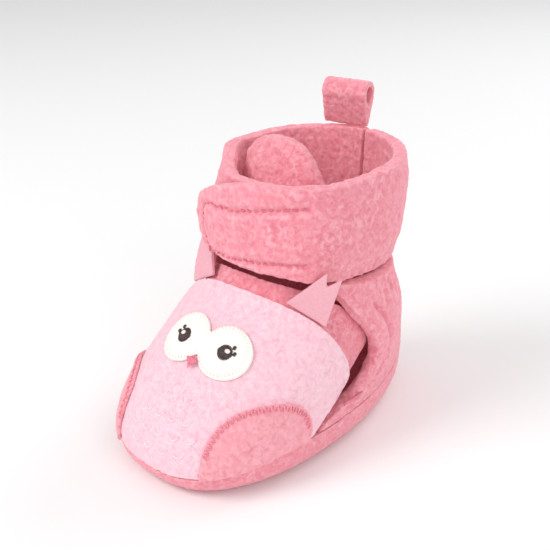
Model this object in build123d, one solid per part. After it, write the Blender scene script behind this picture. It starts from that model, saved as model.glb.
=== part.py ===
from build123d import *
import math
import os

# Baby bootie for a right foot: a fleece ankle bootie with an owl face on its toe.
#
# Frame: millimetres, +Z up, origin on the ground under the middle of the sole.
# The toe points to -Y and the heel to +Y. +X is the medial side, towards the other foot.
# Every fabric piece is a curved panel with a real thickness. Panels are described on one
# skin, the outer surface of the bootie, by an angle around the foot and a height.
# Angles: 0 medial side, 90 heel, 180 lateral side, -90 toe.

# ---------------------------------------------------------------- driving dimensions
SOLE_SEAM_TOE_Z = 7.3      # seam between sole and upper: low round the toe,
SOLE_SEAM_RISE = 5.2       # and higher by this along the sides and the heel
CUFF_LOW_Z = 58.3          # lower edge of the cuff at the sides and the heel
CUFF_FRONT_RISE = 1.9      # the lower edge is higher over the instep
CUFF_LIP = 1.0             # the lower edge stands out over the ankle
RIM_Z = 93.0               # top edge of the cuff at its sides
RIM_BACK_RISE = 1.5        # the rim stands a little higher at the heel
TOE_TURN_DEG = 5.0         # vamp, face, wings and ears sit turned towards the medial side
OUTER_FLEECE = 2.0         # thickness of the outer fleece
LINING_FLEECE = 2.0        # thickness of the lining fleece
LINING_DEPTH = 2.8         # depth of the lining's outside face below the skin
VAMP_LINING_DEPTH = 2.2    # the same, under the vamp
SEAM_GAP = 0.1             # gap between panels that meet edge to edge
APPLIQUE = 1.1             # thickness of a felt or fleece patch sewn on the vamp

GRIP_HEIGHT = 0.5          # silicone dots under the sole
GRIP_RADIUS = 1.6
GRIP_PITCH = 7.5

FLAP_OUTER_FACE = 5.5      # skin to the outer face of the over flap, where it overlaps
FLAP_OUTER_THICK = 1.9
FLAP_LINING_THICK = 1.8
FLAP_CLIMB_DEG = 58.0      # angle over which the over flap climbs from the skin
FLAP_END_DEG = 131.0       # angle from the root to the free end of the over flap
FLAP_TOP_DROP = 6.0        # how far its top edge comes down towards the free end
UNDER_END_DEG = 122.0      # the same for the under flap
UNDER_TOP_DROP = 2.5
UNDER_LOW_RISE = 1.3       # its lower edge clears the quarter as it swings
UNDER_FLAP_DIP = 3.0       # how far its upper edge leans in at the front lateral corner
TOUCH_TAPE_THICK = 0.6     # hook patch and loop patch

TONGUE_LOW_Z = 59.5
TONGUE_HEIGHT = 40.5
TONGUE_FOOT_HALF_WIDTH = 19.0
TONGUE_HALF_WIDTH = 22.0
TONGUE_FRONT_Y = -14.2
TONGUE_LEAN = 13.0         # how far the tongue's tip leans back
TONGUE_SHIFT = 3.5         # its tip sits a little to the lateral side

TAB_WIDTH = 16.5
TAB_HEIGHT = 15.8
TAB_NECK_RADIUS = 1.7
TAB_LOOP_RADIUS = 4.2
TAB_ANGLE = 107.0          # sewn a little to the lateral side of the centre back
TAB_DEPTH = 2.4            # from the skin to the tab's neck

# The skin at a few heights: height, half width, toe Y, heel Y, Y where it is widest
SKIN = (
    (0.5, 27.0, -59.5, 46.5, -19.0),
    (3.0, 31.0, -63.5, 50.5, -19.0),
    (8.0, 33.0, -65.5, 52.5, -18.5),
    (16.0, 33.5, -64.0, 53.0, -17.0),
    (25.0, 33.5, -58.0, 51.5, -13.0),
    (34.0, 33.2, -49.0, 48.5, -6.0),
    (43.0, 32.0, -38.5, 44.5, 0.0),
    (49.0, 30.0, -31.5, 41.3, 3.5),
    (56.0, 27.8, -25.0, 38.3, 6.0),
    (62.0, 28.8, -20.3, 38.8, 8.5),
    (71.0, 30.3, -20.3, 40.3, 9.5),
    (83.5, 31.0, -20.8, 41.3, 10.0),
    (97.0, 31.0, -20.8, 41.8, 10.5),
)
SQUARENESS = 2.15          # superellipse exponent of the skin's level sections


# ---------------------------------------------------------------- the skin
def blend(low, high, share):
    """Smooth step from low to high as share goes from 0 to 1."""
    share = min(1.0, max(0.0, share))
    return low + (high - low) * share * share * (3 - 2 * share)


def curve_through(rows, at, column=1):
    """Smooth curve through the rows' first column and the given one, at one place."""
    at = min(max(at, rows[0][0]), rows[-1][0])
    last = len(rows) - 2
    i = max(k for k in range(last + 1) if rows[k][0] <= at)
    span = rows[i + 1][0] - rows[i][0]
    share = (at - rows[i][0]) / span

    def slope(k):
        low, high = max(k - 1, 0), min(k + 1, len(rows) - 1)
        return (rows[high][column] - rows[low][column]) / (rows[high][0] - rows[low][0])

    start, end = rows[i][column], rows[i + 1][column]
    square, cube = share**2, share**3
    return (
        start * (2 * cube - 3 * square + 1)
        + end * (3 * square - 2 * cube)
        + span * slope(i) * (cube - 2 * square + share)
        + span * slope(i + 1) * (cube - square)
    )


def skin_point(angle, z):
    """Point of the skin at an angle in degrees and a height."""
    half, toe, heel, widest = (curve_through(SKIN, z, k) for k in (1, 2, 3, 4))
    c, s = math.cos(math.radians(angle)), math.sin(math.radians(angle))
    radius = (abs(c) ** SQUARENESS + abs(s) ** SQUARENESS) ** (-1 / SQUARENESS)
    reach = (widest - toe) * (1 - s) / 2 + (heel - widest) * (1 + s) / 2
    return Vector(half * radius * c, widest + reach * radius * s, z)


def skin_normal(angle, z):
    """Outward unit normal of the skin."""
    along = skin_point(angle + 1.5, z) - skin_point(angle - 1.5, z)
    up = skin_point(angle, z + 0.8) - skin_point(angle, z - 0.8)
    return along.cross(up).normalized()


def raised_point(angle, z, out):
    """Point at a distance out from the skin, negative inside."""
    return skin_point(angle, z) + skin_normal(angle, z) * out


def level_ring(z, inset):
    """Closed level outline of the skin at height z, moved inwards by inset."""
    points = []
    count = 48
    for k in range(count):
        angle = 360 * k / count
        along = skin_point(angle + 1.5, z) - skin_point(angle - 1.5, z)
        inward = Vector(-along.Y, along.X, 0).normalized()
        points.append(skin_point(angle, z) + inward * inset)
    return Wire([Edge.make_spline(points, periodic=True)])


def thick_panel(place, across=24, up=12):
    """Closed panel between two curved faces. place(u, v, side) gives a point, with u and v
    from 0 to 1 and side 0 on the outer face or 1 on the inner face."""
    faces = []
    for side in (0, 1):
        grid = [
            [place(i / across, j / up, side) for j in range(up + 1)]
            for i in range(across + 1)
        ]
        faces.append(Face.make_surface_from_array_of_points(grid, tol=0.02))
    outer, inner = faces
    rims = []
    for edge in outer.edges():
        partner = min(inner.edges(), key=lambda e: ((e @ 0.5) - (edge @ 0.5)).length)
        rims.append(Face.make_surface_from_curves(edge, partner))
    solid = Solid(Shell([outer, inner, *rims]))
    if solid.volume < 0:
        solid = Solid(Shell([-outer, -inner, *[-f for f in rims]]))
    return solid


def seam_height(y):
    """Height of the seam between sole and upper, which rises from the toe to the sides."""
    return SOLE_SEAM_TOE_Z + SOLE_SEAM_RISE * blend(0, 1, (y + 66) / 38)


def seam_z(angle):
    """Height of the same seam at an angle."""
    y = skin_point(angle, SOLE_SEAM_TOE_Z).Y
    return seam_height(skin_point(angle, seam_height(y)).Y)


def layered(place, outer_face, thickness, **density):
    """Panel on the skin. place(u, v) gives (angle, height) or (angle, height, extra)."""

    def point(u, v, side):
        angle, z, *extra = place(u, v)
        return raised_point(angle, z, outer_face + sum(extra) - side * thickness)

    return thick_panel(point, **density)


def other_side(shape):
    """The lateral twin of a medial piece."""
    return shape.mirror(Plane.YZ)


# ---------------------------------------------------------------- sole
def outsole():
    """Shallow tray of fleece whose edge wraps up to the seam."""
    heights = (GRIP_HEIGHT, 1.6, 3.0, 5.0, 8.0, 11.0, 14.0)
    tray = Solid.make_loft([level_ring(z, 0) for z in heights])
    floor_z = GRIP_HEIGHT + OUTER_FLEECE
    hollow_heights = (floor_z, 3.8, 6.0, 9.0, 12.0, 15.0)
    hollow = Solid.make_loft([level_ring(z, OUTER_FLEECE) for z in hollow_heights])
    seam = [(0, y, seam_height(y)) for y in range(-72, 65, 8)]
    above = Polyline((0, 64, seam[-1][2]), (0, 64, 30), (0, -72, 30), seam[0])
    side = make_face([Edge.make_spline([Vector(*p) for p in seam]), *above.edges()])
    return tray - hollow - extrude(side, 60, dir=(1, 0, 0), both=True)


def grip_dots():
    dots = []
    rows = range(-6, 6)
    for row in rows:
        y = row * GRIP_PITCH
        for column in range(-4, 5):
            x = (column + 0.5 * (row % 2)) * GRIP_PITCH
            if inside_sole(x, y, margin=4.5):
                place = Pos(x, y, GRIP_HEIGHT / 2)
                dots.append(place * Cylinder(GRIP_RADIUS, GRIP_HEIGHT))
    return Compound(children=dots)


def inside_sole(x, y, margin):
    """True if a point is inside the sole's flat underside by the margin."""
    _, half, toe, heel, widest = SKIN[0]
    reach = (heel - widest) if y >= widest else (widest - toe)
    across = abs(x) / (half - margin)
    along = abs(y - widest) / (reach - margin)
    return across**2.3 + along**2.3 < 1


def sole_layer(low, high, inset):
    rings = [level_ring(z, inset) for z in (low, (low + high) / 2, high)]
    return Solid.make_loft(rings)


# ---------------------------------------------------------------- toe
CORNER_ROUND_DEG = 4.0     # takes the point off the vamp's two rear corners


def vamp_place(u, v, top_z, drop, fullness, turn, foot_turn):
    """Owl-shaped toe panel: the foot edge runs round the toe on the sole seam, and the top
    edge arches over the instep and comes down at both sides."""
    s = 2 * u - 1
    size = abs(s)
    foot_angle = foot_turn * s
    top_angle = math.copysign(turn * size**1.35, s)
    middle = -90 + TOE_TURN_DEG
    round_off = CORNER_ROUND_DEG * s**13 * v**4
    angle = middle + foot_angle + (top_angle - foot_angle) * v - round_off
    low = seam_z(middle + foot_angle) + SEAM_GAP
    top = top_z - drop * size**fullness
    return angle, low + (top - low) * v


def vamp_outer():
    return layered(
        lambda u, v: vamp_place(u, v, 55.8, 28.0, 3.3, 95.0, 80.0),
        0, OUTER_FLEECE, across=36, up=16,
    )


def vamp_lining():
    """It stands out past the vamp at the instep and sides, and the tongue hangs on it."""
    return layered(
        lambda u, v: vamp_place(u, v, cuff_low_z(-90) - 0.4, 22.0, 3.3, 104.0, 81.0),
        -VAMP_LINING_DEPTH, LINING_FLEECE, across=36, up=16,
    )


WING_FRONT_DEG = -59.5
WING_REAR_DEG = -12.0
WING_HEIGHT = 19.5
WING_SEAM_GAP = 0.4


def wing_edge(turn, side_turn, shrink=0.0):
    """Angle and height on the wing's arch; turn runs from 0 at its front foot to pi."""
    front = WING_FRONT_DEG + shrink * 1.1
    rear = WING_REAR_DEG - shrink * 1.7
    share = ((1 - math.cos(turn)) / 2) ** 1.8
    angle = side_turn + front + (rear - front) * share
    rise = (WING_HEIGHT - shrink) * math.sin(turn) ** 0.9
    return angle, seam_z(angle) + WING_SEAM_GAP + rise


def wing(side_turn):
    """Medial wing; the lateral one is the mirror image of one turned the other way."""

    def place(u, v):
        angle, top = wing_edge(math.pi * (0.06 + 0.90 * u), side_turn)
        low = seam_z(angle) + WING_SEAM_GAP
        return angle, low + (top - low) * v

    return layered(place, SEAM_GAP + APPLIQUE, APPLIQUE, across=28, up=8)


def wing_stitching(side_turn):
    """Satin stitch that covers the wing's raw edge."""
    stitch_width = 1.8

    def place(u, v):
        shrink = 0.2 + stitch_width * v
        return wing_edge(math.pi * (0.10 + 0.82 * u), side_turn, shrink)

    return layered(place, SEAM_GAP * 2 + APPLIQUE + 0.35, 0.35, across=28, up=3)


# The owl's face, drawn on a plane that touches the middle of the vamp
FACE_Z = 41.3
EYE_SPACING = 16.4
EYE_RADIUS = 8.9
PUPIL_SPACING = 17.6
PUPIL_RADIUS = 2.7
GLINT_RADIUS = 1.0
BEAK_DROP = 7.0            # below the eyes' centres, along the vamp
BEAK_HALF_WIDTH = 2.1
BEAK_HALF_HEIGHT = 2.4


def face_plane():
    return Plane(
        origin=skin_point(-90 + TOE_TURN_DEG, FACE_Z),
        x_dir=skin_point(-80, FACE_Z) - skin_point(-90, FACE_Z),
        z_dir=skin_normal(-90 + TOE_TURN_DEG, FACE_Z),
    )


def face_layer(sketch, outer_face, thickness):
    """A face feature: the part of a skin layer that lies under a flat sketch."""

    def place(u, v):
        return -90 + TOE_TURN_DEG + 62 * (2 * u - 1), 26 + 30 * v

    sheet = layered(place, outer_face, thickness, across=16, up=10)
    column = extrude(face_plane() * sketch, 12, both=True)
    return sheet & column


def two(shape, spacing):
    return Pos(-spacing / 2, 0) * shape + Pos(spacing / 2, 0) * shape


def eye_patch():
    sketch = two(Circle(EYE_RADIUS), EYE_SPACING)
    return face_layer(sketch, SEAM_GAP + APPLIQUE, APPLIQUE)


def eye_stitching():
    ring = two(Circle(EYE_RADIUS - 0.1), EYE_SPACING) - two(Circle(EYE_RADIUS - 1.5), EYE_SPACING)
    return face_layer(ring, SEAM_GAP * 2 + APPLIQUE + 0.3, 0.3)


EMBROIDERY_LOW = APPLIQUE + 0.25


def pupils():
    return face_layer(two(Circle(PUPIL_RADIUS), PUPIL_SPACING), EMBROIDERY_LOW + 0.6, 0.6)


def glints():
    return face_layer(two(Circle(GLINT_RADIUS), PUPIL_SPACING), EMBROIDERY_LOW + 1.0, 0.3)


def eyelashes():
    """Two short lashes at the outer upper side of each pupil."""
    sketch = Sketch()
    for side in (-1, 1):
        for tilt in (18, 52):
            reach = PUPIL_RADIUS + 1.1
            x = side * (PUPIL_SPACING / 2 + reach * math.cos(math.radians(tilt)))
            y = reach * math.sin(math.radians(tilt))
            sketch += Pos(x, y) * Rot(0, 0, side * tilt) * Ellipse(0.85, 0.45)
    return face_layer(sketch, EMBROIDERY_LOW + 0.5, 0.5)


def beak():
    outline = Polyline(
        (-BEAK_HALF_WIDTH, 0.9),
        (0, BEAK_HALF_HEIGHT),
        (BEAK_HALF_WIDTH, 0.9),
        (0, -BEAK_HALF_HEIGHT),
        close=True,
    )
    return face_layer(Pos(0, -BEAK_DROP) * make_face(outline), EMBROIDERY_LOW + 1.1, 0.8)


# ---------------------------------------------------------------- ears
EAR_THICK = 1.2
EAR_INNER_FOOT = (-55.0, 54.5)     # ends of the sewn foot: angle and height
EAR_OUTER_FOOT = (-28.5, 47.0)
EAR_FOOT_OUT = 0.4                 # the foot sits on the vamp's top edge
EAR_RISE = Vector(9.6, 3.6, 12.6)  # direction in which the ear stands, clear of the cuff
EAR_LENGTH = (17.0, 12.4, 17.6)    # to the inner point, the notch and the outer point


def ear_ends(side_turn):
    ends = (EAR_INNER_FOOT, EAR_OUTER_FOOT)
    return [raised_point(angle + side_turn, z, EAR_FOOT_OUT) for angle, z in ends]


def ear(side_turn):
    """Felt tuft with two points, and a round bead where it is sewn in."""
    inner, outer = ear_ends(side_turn)
    foot = outer - inner
    length = foot.length
    inner_point, notch, outer_point = EAR_LENGTH
    outline = Polyline(
        (0, 0), (length, 0), (0.66 * length, outer_point), (0.48 * length, notch),
        (0.32 * length, inner_point), close=True,
    )
    blade = extrude(make_face(outline), EAR_THICK / 2, both=True)
    bead = Pos(length / 2, 0, 0) * Rot(0, 90, 0) * Cylinder(EAR_THICK / 2, length)
    return Plane(origin=inner, x_dir=foot, z_dir=foot.cross(EAR_RISE)) * (blade + bead)


# ---------------------------------------------------------------- heel and sides
QUARTER_FRONT = (          # height and angle of the quarter's front edge, medial side
    (12.0, -8.0),
    (18.0, -1.5),
    (24.0, 7.0),
    (30.0, 10.0),
    (37.0, 5.5),
    (44.0, -5.0),
    (50.0, -18.0),
    (60.0, -36.0),
)
QUARTER_BULGE = 3.4        # the front of the quarter stands off the vamp's lining
CUFF_GAP = 0.5             # between the quarter's top edge and the cuff


def quarter_place(u, v, side_turn):
    """Medial half of the quarter: u from its front edge to the centre back seam."""
    low = seam_z(0) + SEAM_GAP
    low_front = QUARTER_FRONT[0][1] + side_turn
    top_front = QUARTER_FRONT[-1][1] + side_turn
    front_top = cuff_low_z(top_front) - CUFF_GAP
    front = curve_through(QUARTER_FRONT, low + (front_top - low) * v) + side_turn
    angle = front + (90 - 0.05 - front) * u
    top_angle = top_front + (90 - top_front) * u
    low = seam_z(low_front + (90 - low_front) * u) + SEAM_GAP
    z = low + (cuff_low_z(top_angle) - CUFF_GAP - low) * v
    return angle, z, quarter_bulge(angle, z)


def quarter_bulge(angle, z):
    """How far the front of the quarter stands off the skin."""
    return QUARTER_BULGE * blend(0, 1, (z - 13) / 12) * blend(1, 0, (angle - 15) / 40)


def quarter(outer_face, thickness, side_turn):
    def place(u, v):
        return quarter_place(u, v, side_turn)

    return layered(place, outer_face, thickness, across=20, up=18)


def ankle_elastic():
    """Narrow elastic in the casing between the quarter's fleece and its lining."""
    return layered(
        lambda u, v: (55 + 70 * u, 48.5 + 5.5 * v),
        -OUTER_FLEECE - 0.15, 0.5, across=12, up=4,
    )


def slit_bartack(side_turn):
    """Short block of stitches that holds the front edge of the quarter to the vamp."""

    def place(u, v):
        angle, z = side_turn - 1.0 + 8.0 * u, 20.2 + 1.6 * v
        return angle, z, quarter_bulge(angle, z)

    return layered(place, 0.6, 0.45, across=4, up=4)


# ---------------------------------------------------------------- cuff
def rim_z(angle):
    return RIM_Z + RIM_BACK_RISE * max(0.0, math.sin(math.radians(angle)))


def cuff_low_z(angle):
    rise = blend(0, 1, (0.05 - math.sin(math.radians(angle))) / 0.75)
    return CUFF_LOW_Z + CUFF_FRONT_RISE * rise


def cuff_lip(z):
    """How far the cuff stands out near its lower edge."""
    return CUFF_LIP * blend(1, 0, (z - CUFF_LOW_Z) / 12)


def cuff_back(outer_face, thickness):
    """Medial half of the cuff's back, from the over flap's root to the centre back."""

    def place(u, v):
        angle = 0.4 + 89.55 * u
        low = cuff_low_z(angle)
        z = low + (rim_z(angle) - low) * v
        return angle, z, cuff_lip(z)

    return layered(place, outer_face, thickness, across=16, up=12)


def rounded_end(share, start):
    """1 along a flap, falling to a small value in a rounded way at its free end."""
    if share <= start:
        return 1.0
    past = (share - start) / (1 - start)
    return max(0.22, math.sqrt(1 - past**2))


def over_flap_place(u, v):
    """u from the medial root round the front to the free lateral end."""
    share = 1 - (1 - u) ** 1.35
    turn = 0.4 + (FLAP_END_DEG - 0.4) * share
    climb = FLAP_OUTER_FACE * blend(0, 1, turn / FLAP_CLIMB_DEG)
    top = RIM_Z - FLAP_TOP_DROP * blend(0, 1, (turn - 60) / 70)
    low = cuff_low_z(-turn)
    middle = (top + low) / 2
    high = middle + (top - middle) * rounded_end(share, 0.72)
    under = middle + (low - middle) * rounded_end(share, 0.76)
    z = under + (high - under) * v
    return -turn, z, climb + cuff_lip(z)


def over_flap(outer_face, thickness):
    return layered(over_flap_place, outer_face, thickness, across=40, up=12)


def hook_patch():
    return layered(
        lambda u, v: (-88 - 29 * u, 64.5 + 13 * v, cuff_lip(64.5 + 13 * v)),
        FLAP_OUTER_FACE - FLAP_OUTER_THICK - FLAP_LINING_THICK - 0.4, TOUCH_TAPE_THICK,
        across=12, up=6,
    )


def flap_topstitch():
    """Row of stitches that follows the over flap's free end, inside its edge."""
    row_width = 0.8
    half_height = 9.0
    half_length_deg = 13.0
    middle_deg = -106.5
    middle_z = 72.5

    def place(u, v):
        turn = math.pi * (u - 0.5)
        scale = 1 - row_width / half_height * v
        along = scale * half_length_deg * math.cos(turn) ** 0.8
        height = scale * half_height * math.copysign(abs(math.sin(turn)) ** 0.8, turn)
        return middle_deg - along, middle_z + height, cuff_lip(middle_z + height)

    return layered(place, FLAP_OUTER_FACE + 0.4, 0.3, across=24, up=3)


def under_flap_place(u, v):
    """u from the lateral root round the front to the free medial end."""
    share = 1 - (1 - u) ** 1.35
    turn = 0.4 + (UNDER_END_DEG - 0.4) * share
    top = RIM_Z - UNDER_TOP_DROP * blend(0, 1, (turn - 25) / 60)
    low = cuff_low_z(180 + turn) + UNDER_LOW_RISE
    middle = (top + low) / 2
    round_off = rounded_end(share, 0.86)
    high = middle + (top - middle) * round_off
    under = middle + (low - middle) * round_off
    z = under + (high - under) * v
    return 180 + turn, z, cuff_lip(z) - under_flap_dip(turn, z)


def under_flap_dip(turn, z):
    """The upper edge of the under flap leans in where the over flap leaves it free."""
    around = math.sin(math.pi * min(1, max(0, (turn - 5) / 80))) ** 2
    return UNDER_FLAP_DIP * around * blend(0, 1, (z - 76) / 16)


def under_flap(outer_face, thickness):
    return layered(under_flap_place, outer_face, thickness, across=40, up=12)


def loop_patch():
    return layered(
        lambda u, v: (-148 + 66 * u, 62.5 + 13 * v, cuff_lip(62.5 + 13 * v)),
        SEAM_GAP + TOUCH_TAPE_THICK, TOUCH_TAPE_THICK, across=20, up=8,
    )


# ---------------------------------------------------------------- tongue and pull tab
def tongue_layer(front, thickness):
    """Curved tongue with an arched top that leans back into the cuff."""

    def point(u, v, side):
        s = math.sin(math.pi / 2 * (2 * u - 1))
        arch = max(0.25, (1 - abs(s) ** 2.6) ** (1 / 2.6))
        rise = arch * v
        half = blend(TONGUE_FOOT_HALF_WIDTH, TONGUE_HALF_WIDTH, rise / 0.4)
        depth = front + side * thickness
        curl = (14.0 - 8.0 * rise) * abs(s) ** 2.2
        y = TONGUE_FRONT_Y + curl + TONGUE_LEAN * rise**1.25 + depth
        x = s * (half - 0.55 * depth) - TONGUE_SHIFT * rise
        return Vector(x, y, TONGUE_LOW_Z + TONGUE_HEIGHT * rise)

    return thick_panel(point, across=28, up=12)


def pull_tab():
    """Flattened loop of fleece; its neck is a round bead on the hinge line."""
    loop_z = TAB_HEIGHT - TAB_NECK_RADIUS - TAB_LOOP_RADIUS
    outline = make_hull(
        (Circle(TAB_NECK_RADIUS) + Pos(0, loop_z) * Circle(TAB_LOOP_RADIUS)).edges()
    )
    eye = make_hull(
        (Pos(0, 5.5) * Circle(0.3) + Pos(0, loop_z) * Circle(TAB_LOOP_RADIUS - 2.0)).edges()
    )
    return extrude(tab_plane() * (outline - eye), TAB_WIDTH / 2, both=True)


def tab_plane():
    """Side view of the pull tab: X outwards and Y up, at the centre of its neck."""
    out = skin_normal(TAB_ANGLE, RIM_Z)
    out = Vector(out.X, out.Y, 0).normalized()
    neck = skin_point(TAB_ANGLE, RIM_Z) - out * TAB_DEPTH
    height = rim_z(TAB_ANGLE) + TAB_NECK_RADIUS + 0.3
    return Plane(origin=(neck.X, neck.Y, height), x_dir=out, z_dir=out.cross(Vector(0, 0, 1)))


# ---------------------------------------------------------------- write every piece
def build():
    turns = {"medial": TOE_TURN_DEG, "lateral": -TOE_TURN_DEG}
    quarters = {side: quarter(0, OUTER_FLEECE, turn) for side, turn in turns.items()}
    linings = {
        side: quarter(-LINING_DEPTH, LINING_FLEECE, turn) for side, turn in turns.items()
    }
    cuff_outer = cuff_back(0, OUTER_FLEECE)
    cuff_lining = cuff_back(-LINING_DEPTH, LINING_FLEECE)
    bartacks = [
        slit_bartack(TOE_TURN_DEG),
        other_side(slit_bartack(-TOE_TURN_DEG)),
    ]
    flap_lining_face = -FLAP_OUTER_THICK - 0.2
    return {
        "outsole": outsole(),
        "sole_grip_dots": grip_dots(),
        "sole_padding": sole_layer(2.6, 5.2, 2.8),
        "insole": sole_layer(5.3, 7.1, 5.1),
        "vamp_outer": vamp_outer(),
        "vamp_lining": vamp_lining(),
        "medial_wing": wing(TOE_TURN_DEG),
        "lateral_wing": other_side(wing(-TOE_TURN_DEG)),
        "medial_wing_stitching": wing_stitching(TOE_TURN_DEG),
        "lateral_wing_stitching": other_side(wing_stitching(-TOE_TURN_DEG)),
        "eye_patch": eye_patch(),
        "eye_patch_stitching": eye_stitching(),
        "pupils": pupils(),
        "eye_glints": glints(),
        "eyelashes": eyelashes(),
        "beak": beak(),
        "medial_ear": ear(TOE_TURN_DEG),
        "lateral_ear": other_side(ear(-TOE_TURN_DEG)),
        "medial_quarter_outer": quarters["medial"],
        "lateral_quarter_outer": other_side(quarters["lateral"]),
        "medial_quarter_lining": linings["medial"],
        "lateral_quarter_lining": other_side(linings["lateral"]),
        "ankle_elastic": ankle_elastic(),
        "slit_bartacks": Compound(children=bartacks),
        "medial_cuff_outer": cuff_outer,
        "lateral_cuff_outer": other_side(cuff_outer),
        "medial_cuff_lining": cuff_lining,
        "lateral_cuff_lining": other_side(cuff_lining),
        "pull_tab": pull_tab(),
        "over_flap_outer": over_flap(0, FLAP_OUTER_THICK),
        "over_flap_lining": over_flap(flap_lining_face, FLAP_LINING_THICK),
        "hook_patch": hook_patch(),
        "flap_topstitch": flap_topstitch(),
        "under_flap_outer": under_flap(0, OUTER_FLEECE),
        "under_flap_lining": under_flap(-OUTER_FLEECE - 0.2, LINING_FLEECE - 0.1),
        "loop_patch": loop_patch(),
        "tongue_outer": tongue_layer(0, 1.8),
        "tongue_lining": tongue_layer(1.9, 1.6),
    }


os.makedirs("parts", exist_ok=True)
for name, shape in build().items():
    export_step(shape, f"parts/{name}.step")
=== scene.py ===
"""Looks of a baby bootie: fleece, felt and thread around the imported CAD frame.

Metres, row frame. Every fabric piece starts from its CAD nodes, is remeshed into one soft
closed form with rounded rims, and then gets its nap, creases, stitches and material.
"""

import math

import bmesh
import bpy
import numpy as np
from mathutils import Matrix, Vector
from mathutils.bvhtree import BVHTree
from mathutils.kdtree import KDTree


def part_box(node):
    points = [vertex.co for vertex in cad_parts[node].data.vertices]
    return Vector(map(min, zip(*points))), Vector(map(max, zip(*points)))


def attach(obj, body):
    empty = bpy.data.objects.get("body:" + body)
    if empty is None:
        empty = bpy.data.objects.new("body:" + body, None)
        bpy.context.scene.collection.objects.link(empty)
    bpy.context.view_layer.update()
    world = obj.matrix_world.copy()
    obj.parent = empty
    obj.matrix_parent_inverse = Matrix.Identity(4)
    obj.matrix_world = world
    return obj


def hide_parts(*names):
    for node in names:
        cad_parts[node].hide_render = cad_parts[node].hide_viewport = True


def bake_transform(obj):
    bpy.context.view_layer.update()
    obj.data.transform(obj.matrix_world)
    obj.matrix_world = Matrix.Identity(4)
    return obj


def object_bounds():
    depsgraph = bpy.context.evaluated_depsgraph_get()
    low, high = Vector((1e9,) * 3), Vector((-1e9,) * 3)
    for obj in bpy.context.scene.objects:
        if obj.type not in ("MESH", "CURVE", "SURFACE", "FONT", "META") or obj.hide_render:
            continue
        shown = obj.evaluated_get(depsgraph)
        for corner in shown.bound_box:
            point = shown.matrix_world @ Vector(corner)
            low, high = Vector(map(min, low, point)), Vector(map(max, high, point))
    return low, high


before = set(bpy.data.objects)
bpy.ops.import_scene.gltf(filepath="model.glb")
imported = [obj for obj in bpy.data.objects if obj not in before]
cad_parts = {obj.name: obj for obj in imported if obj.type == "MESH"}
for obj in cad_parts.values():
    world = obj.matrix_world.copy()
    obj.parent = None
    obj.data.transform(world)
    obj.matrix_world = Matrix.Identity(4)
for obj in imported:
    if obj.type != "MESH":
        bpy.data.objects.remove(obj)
cad_low, cad_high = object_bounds()
MM = 0.001                 # lengths in the calls below are in mm unless they say otherwise
SIDES = ("medial", "lateral")
SCENE = bpy.context.scene


# ---------------------------------------------------------------- mesh helpers
def coords(obj):
    """Vertex places of a mesh as rows of x, y, z."""
    flat = np.empty(len(obj.data.vertices) * 3)
    obj.data.vertices.foreach_get("co", flat)
    return flat.reshape(-1, 3)


def normals(obj):
    """Vertex normals of a mesh as rows of x, y, z."""
    flat = np.empty(len(obj.data.vertices) * 3)
    obj.data.vertices.foreach_get("normal", flat)
    return flat.reshape(-1, 3)


def set_coords(obj, co):
    obj.data.vertices.foreach_set("co", np.ascontiguousarray(co).ravel())
    obj.data.update()


def apply_modifiers(obj):
    """The object's mesh becomes what its modifiers make of it."""
    evaluated = obj.evaluated_get(bpy.context.evaluated_depsgraph_get())
    mesh = bpy.data.meshes.new_from_object(evaluated)
    obj.modifiers.clear()
    obj.data = mesh


def new_object(name, verts, faces):
    mesh = bpy.data.meshes.new(name)
    mesh.from_pydata([tuple(v) for v in verts], [], faces)
    mesh.update()
    obj = bpy.data.objects.new(name, mesh)
    SCENE.collection.objects.link(obj)
    return obj


def copy_of_nodes(name, nodes, swell):
    """One object with the CAD nodes' meshes, each moved outwards by swell."""
    joined = bmesh.new()
    for node in nodes:
        part = bmesh.new()
        part.from_mesh(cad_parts[node].data)
        bmesh.ops.remove_doubles(part, verts=part.verts, dist=1e-6)
        bmesh.ops.recalc_face_normals(part, faces=part.faces)
        part.normal_update()
        for v in part.verts:
            v.co += v.normal * swell
        mesh = bpy.data.meshes.new("part")
        part.to_mesh(mesh)
        joined.from_mesh(mesh)
        part.free()
        bpy.data.meshes.remove(mesh)
    mesh = bpy.data.meshes.new(name)
    joined.to_mesh(mesh)
    joined.free()
    obj = bpy.data.objects.new(name, mesh)
    SCENE.collection.objects.link(obj)
    return obj


def add_remesh(obj, voxel):
    remesh = obj.modifiers.new("voxels", "REMESH")
    remesh.mode = "VOXEL"
    remesh.voxel_size = voxel * MM


def soft_form(name, nodes, voxel=0.6, swell=0.5, rounding=6, rolls=()):
    """The CAD nodes as one closed soft form: gaps between layers close, edges get round.
    Rolls are (path, radius in mm) of thick rolled rims that are joined in."""
    obj = copy_of_nodes(name, nodes, swell * MM)
    if rolls:
        join_rolls(obj, rolls)
    add_remesh(obj, voxel)
    smooth = obj.modifiers.new("smooth", "SMOOTH")
    smooth.factor = 0.5
    smooth.iterations = rounding
    apply_modifiers(obj)
    set_coords(obj, coords(obj) - normals(obj) * swell * MM)
    return obj


def join_rolls(obj, rolls):
    """Adds a thick tube along each path, for the remesh to melt into the panels."""
    joined = bmesh.new()
    joined.from_mesh(obj.data)
    for path, radius in rolls:
        verts, faces = tube(path, radius * MM, sides=12)
        made = [joined.verts.new(v) for v in verts]
        for face in faces:
            joined.faces.new([made[i] for i in face])
    joined.to_mesh(obj.data)
    joined.free()


RIM_DEPTH = 0.9            # vertices this near to the edge belong to a panel's rim
RIM_STEP = 4.0             # degrees between two points of a rim path
OUTLINE_STEP = 5.0


def node_coords(nodes):
    return np.concatenate([coords(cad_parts[n]) for n in nodes])


def middle_of(co):
    return (co.max(axis=0) + co.min(axis=0)) / 2


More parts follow.
